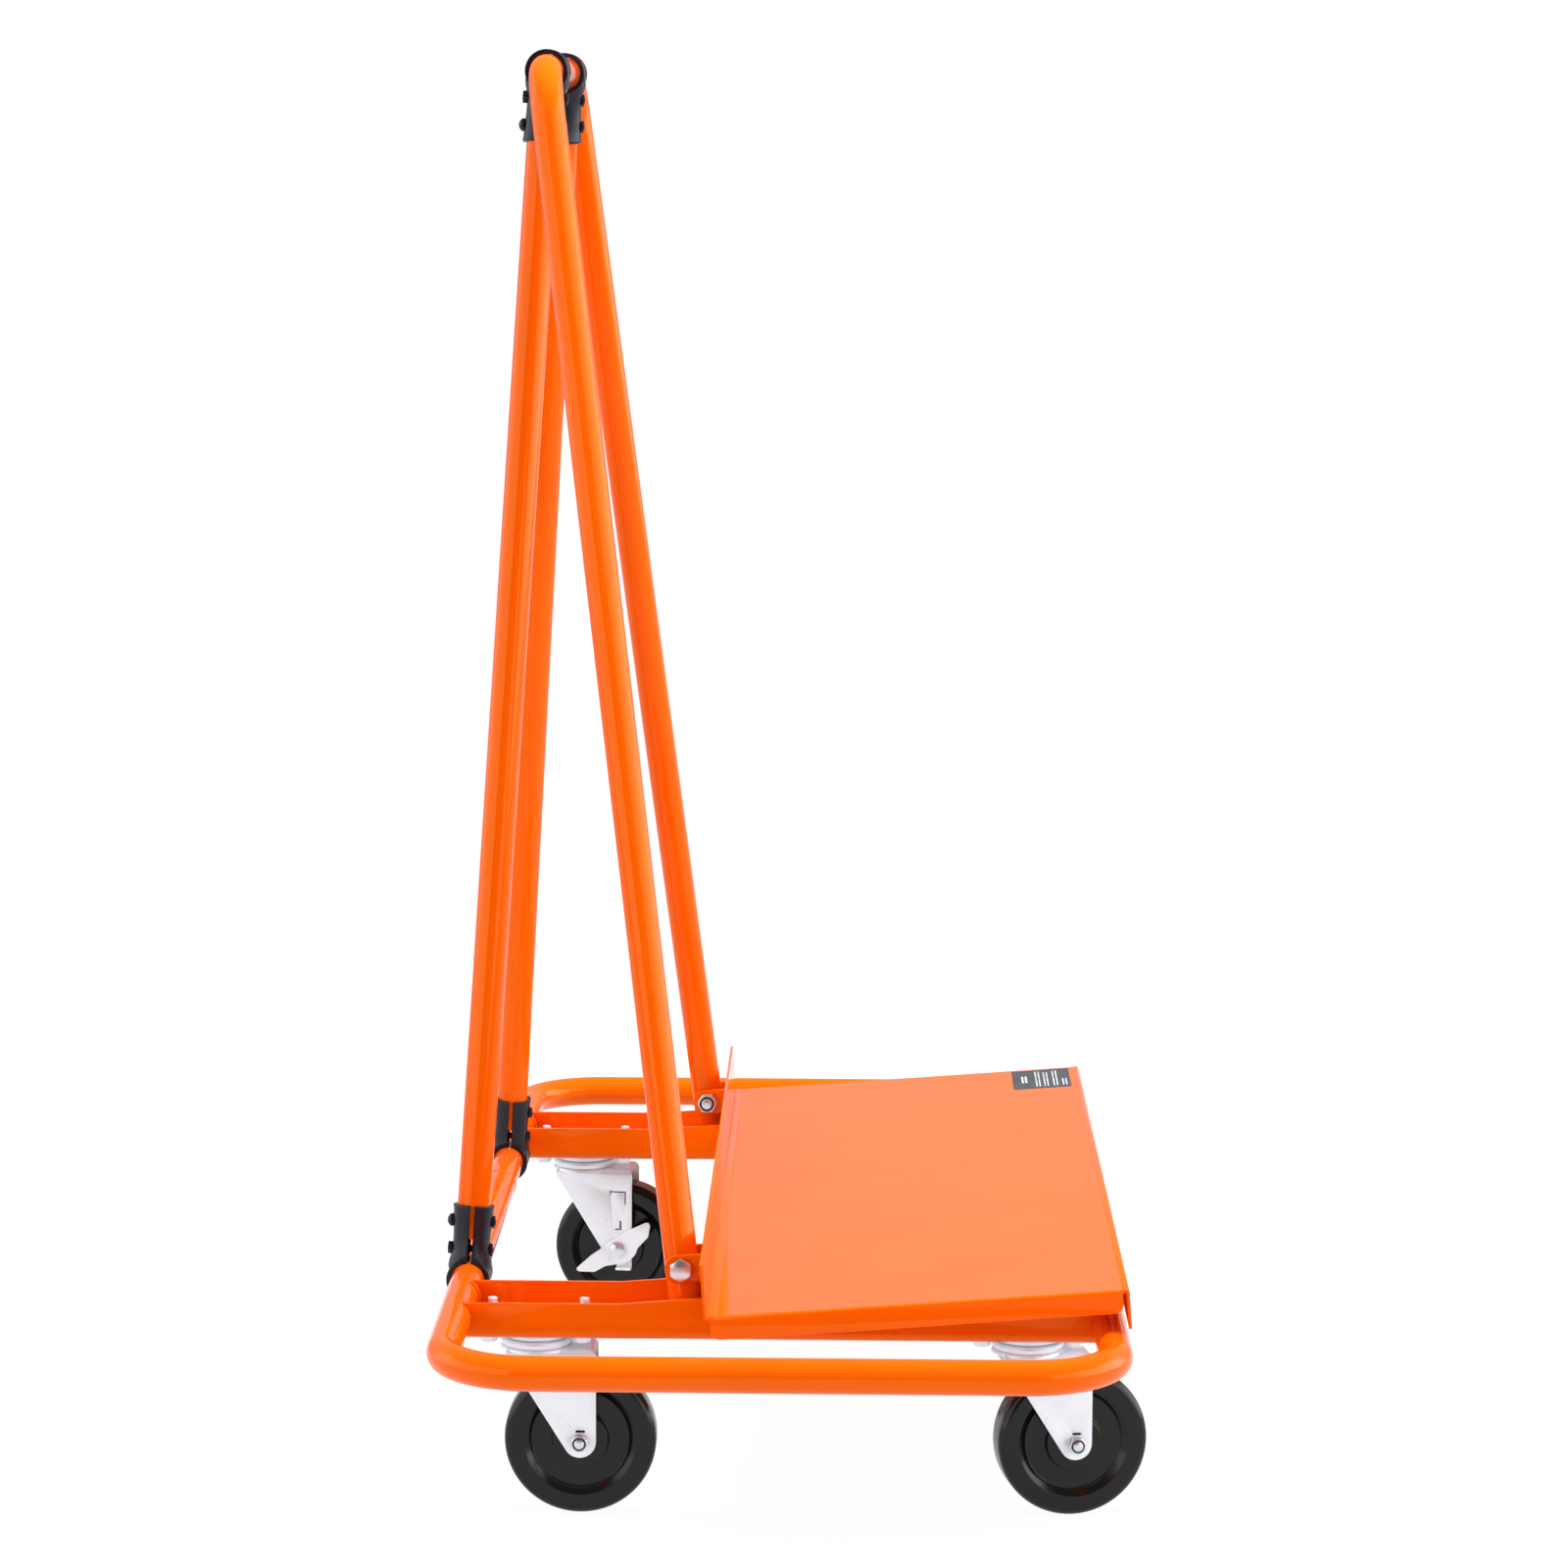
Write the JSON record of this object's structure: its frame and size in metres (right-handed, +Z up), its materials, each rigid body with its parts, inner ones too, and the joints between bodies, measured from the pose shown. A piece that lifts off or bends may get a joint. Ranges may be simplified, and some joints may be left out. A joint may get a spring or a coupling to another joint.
{
  "type": "drywall sheet cart",
  "caption": "Low-deck panel dolly: a tube ring base, a sloping sheet deck, a bolted A-frame for leaning sheets, and swivel casters, some with side brakes.",
  "frame": {"origin": "on the floor, under the middle of the cart's footprint", "axes": "+X to the load side, +Y along the cart from its front end to its rear end, +Z up"},
  "size_m": [0.5868, 1.15, 1.1938],
  "materials": {
    "orange_powder_coat": "glossy orange powder coat",
    "black_steel": "satin black coat on pressed steel",
    "zinc_plate": "bright zinc plate",
    "black_wheel": "glossy moulded black",
    "bushing_nylon": "plain moulded nylon"
  },
  "bodies": {
    "frame": {"base_ring": "orange_powder_coat", "cross_channel_front": "orange_powder_coat", "cross_channel_rear": "orange_powder_coat", "deck_plate": "orange_powder_coat", "leg_bracket_front": "orange_powder_coat", "leg_bracket_rear": "orange_powder_coat", "support_hoop": "orange_powder_coat", "back_leg_front": "orange_powder_coat", "back_leg_rear": "orange_powder_coat", "hoop_bolt_front": "zinc_plate", "hoop_nut_front": "zinc_plate", "clamp_lower_front_load": "black_steel", "clamp_lower_front_back": "black_steel", "clamp_bolt_lower_front_tube": "black_steel", "clamp_bolt_lower_front_leg": "black_steel", "clamp_upper_front_load": "black_steel", "clamp_upper_front_back": "black_steel", "clamp_bolt_upper_front_tube": "black_steel", "clamp_bolt_upper_front_leg": "black_steel", "hoop_bolt_rear": "zinc_plate", "hoop_nut_rear": "zinc_plate", "clamp_lower_rear_load": "black_steel", "clamp_lower_rear_back": "black_steel", "clamp_bolt_lower_rear_tube": "black_steel", "clamp_bolt_lower_rear_leg": "black_steel", "clamp_upper_rear_load": "black_steel", "clamp_upper_rear_back": "black_steel", "clamp_bolt_upper_rear_tube": "black_steel", "clamp_bolt_upper_rear_leg": "black_steel", "caster_plate_front_back": "zinc_plate", "kingpin_front_back": "zinc_plate", "caster_plate_front_load": "zinc_plate", "kingpin_front_load": "zinc_plate", "caster_plate_rear_back": "zinc_plate", "kingpin_rear_back": "zinc_plate", "caster_plate_rear_load": "zinc_plate", "kingpin_rear_load": "zinc_plate"},
    "swivel_front_back": {"swivel_race_front_back": "zinc_plate", "fork_front_back": "zinc_plate", "axle_bolt_front_back": "zinc_plate", "axle_bushing_front_back": "bushing_nylon"},
    "wheel_front_back": {"wheel_front_back": "black_wheel"},
    "swivel_front_load": {"swivel_race_front_load": "zinc_plate", "fork_front_load": "zinc_plate", "axle_bolt_front_load": "zinc_plate", "axle_bushing_front_load": "bushing_nylon"},
    "wheel_front_load": {"wheel_front_load": "black_wheel"},
    "swivel_rear_back": {"swivel_race_rear_back": "zinc_plate", "fork_rear_back": "zinc_plate", "axle_bolt_rear_back": "zinc_plate", "axle_bushing_rear_back": "bushing_nylon"},
    "wheel_rear_back": {"wheel_rear_back": "black_wheel"},
    "brake_rear_back": {"brake_lever_rear_back": "zinc_plate"},
    "swivel_rear_load": {"swivel_race_rear_load": "zinc_plate", "fork_rear_load": "zinc_plate", "axle_bolt_rear_load": "zinc_plate", "axle_bushing_rear_load": "bushing_nylon"},
    "wheel_rear_load": {"wheel_rear_load": "black_wheel"},
    "brake_rear_load": {"brake_lever_rear_load": "zinc_plate"}
  },
  "joints": [
    {"name": "swivel_front_back", "type": "hinge", "parent": "frame", "child": "swivel_front_back", "pos_m": [-0.20941, -0.348, 0.15], "axis": [0, 0, 1], "continuous": true},
    {"name": "wheel_spin_front_back", "type": "hinge", "parent": "swivel_front_back", "child": "wheel_front_back", "pos_m": [-0.17311, -0.348, 0.0625], "axis": [0, 1, 0], "continuous": true},
    {"name": "swivel_front_load", "type": "hinge", "parent": "frame", "child": "swivel_front_load", "pos_m": [0.19359, -0.348, 0.15], "axis": [0, 0, 1], "continuous": true},
    {"name": "wheel_spin_front_load", "type": "hinge", "parent": "swivel_front_load", "child": "wheel_front_load", "pos_m": [0.22925, -0.34126, 0.0625], "axis": [-0.1857, 0.9826, 0], "continuous": true},
    {"name": "swivel_rear_back", "type": "hinge", "parent": "frame", "child": "swivel_rear_back", "pos_m": [-0.20941, 0.348, 0.15], "axis": [0, 0, 1], "continuous": true},
    {"name": "wheel_spin_rear_back", "type": "hinge", "parent": "swivel_rear_back", "child": "wheel_rear_back", "pos_m": [-0.17339, 0.34358, 0.0625], "axis": [0.1219, 0.9925, 0], "continuous": true},
    {"name": "brake_rear_back", "type": "hinge", "parent": "swivel_rear_back", "child": "brake_rear_back", "pos_m": [-0.17339, 0.34358, 0.0625], "axis": [-0.1219, -0.9925, 0], "range_deg": [0, 15]},
    {"name": "swivel_rear_load", "type": "hinge", "parent": "frame", "child": "swivel_rear_load", "pos_m": [0.19359, 0.348, 0.15], "axis": [0, 0, 1], "continuous": true},
    {"name": "wheel_spin_rear_load", "type": "hinge", "parent": "swivel_rear_load", "child": "wheel_rear_load", "pos_m": [0.22984, 0.3461, 0.0625], "axis": [0.0523, 0.9986, 0], "continuous": true},
    {"name": "brake_rear_load", "type": "hinge", "parent": "swivel_rear_load", "child": "brake_rear_load", "pos_m": [0.22984, 0.3461, 0.0625], "axis": [-0.0523, -0.9986, 0], "range_deg": [0, 15]}
  ]
}
